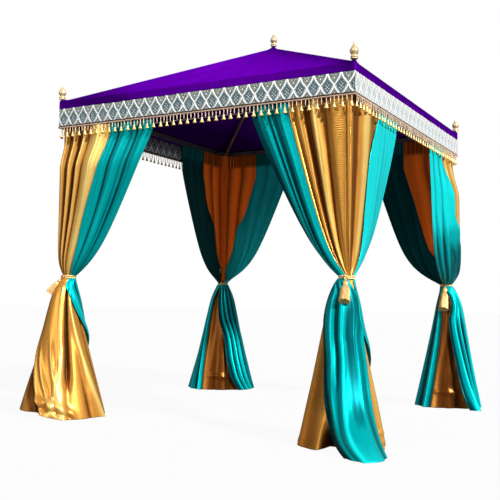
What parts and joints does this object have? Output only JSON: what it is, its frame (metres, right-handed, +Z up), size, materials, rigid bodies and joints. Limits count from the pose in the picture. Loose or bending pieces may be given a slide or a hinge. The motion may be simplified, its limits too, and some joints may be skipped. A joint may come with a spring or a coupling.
{
  "type": "square draped party cabana",
  "caption": "Open square cabana: posts with a pyramid satin roof, woven border, tassel fringe, tied-back satin drapes and turned finials.",
  "frame": {"origin": "on the floor at the middle of the plan", "axes": "+Z up, -Y out of the front side, +X to the right seen from the front"},
  "size_m": [2.91, 3.1066, 3.1223],
  "materials": {
    "frame_steel": "charcoal powder coat",
    "purple_satin": "deep purple satin, lined",
    "woven_border": "silver and grey jacquard with an ogee lattice",
    "gold_braid": "metallic gold braid and tassels",
    "gilt": "cast resin, gilded",
    "gold_satin": "bright gold satin",
    "teal_satin": "bright teal satin",
    "gold_rope": "twisted metallic gold rope"
  },
  "bodies": {
    "root": {"post_front_left": "frame_steel", "post_front_right": "frame_steel", "post_back_right": "frame_steel", "post_back_left": "frame_steel", "eave_rail_front": "frame_steel", "eave_rail_right": "frame_steel", "eave_rail_back": "frame_steel", "eave_rail_left": "frame_steel", "hip_rafter_front_left": "frame_steel", "hip_rafter_front_right": "frame_steel", "hip_rafter_back_right": "frame_steel", "hip_rafter_back_left": "frame_steel", "crown_hub": "frame_steel", "roof_cover": "purple_satin", "border_front": "woven_border", "border_right": "woven_border", "border_back": "woven_border", "border_left": "woven_border", "fringe_front": "gold_braid", "fringe_right": "gold_braid", "fringe_back": "gold_braid", "fringe_left": "gold_braid", "corner_finial_front_left": "gilt", "corner_finial_front_right": "gilt", "corner_finial_back_right": "gilt", "corner_finial_back_left": "gilt", "apex_finial": "gilt", "gold_drape_front_left": "gold_satin", "gold_drape_front_right": "gold_satin", "gold_drape_back_right": "gold_satin", "gold_drape_back_left": "gold_satin", "teal_drape_front_left_on_front": "teal_satin", "teal_drape_front_left_on_left": "teal_satin", "teal_drape_front_right_on_front": "teal_satin", "teal_drape_front_right_on_right": "teal_satin", "teal_drape_back_right_on_back": "teal_satin", "teal_drape_back_right_on_right": "teal_satin", "teal_drape_back_left_on_back": "teal_satin", "teal_drape_back_left_on_left": "teal_satin", "tieback_front_left": "gold_rope", "tieback_front_right": "gold_rope", "tieback_back_right": "gold_rope", "tieback_back_left": "gold_rope"}
  },
  "joints": []
}
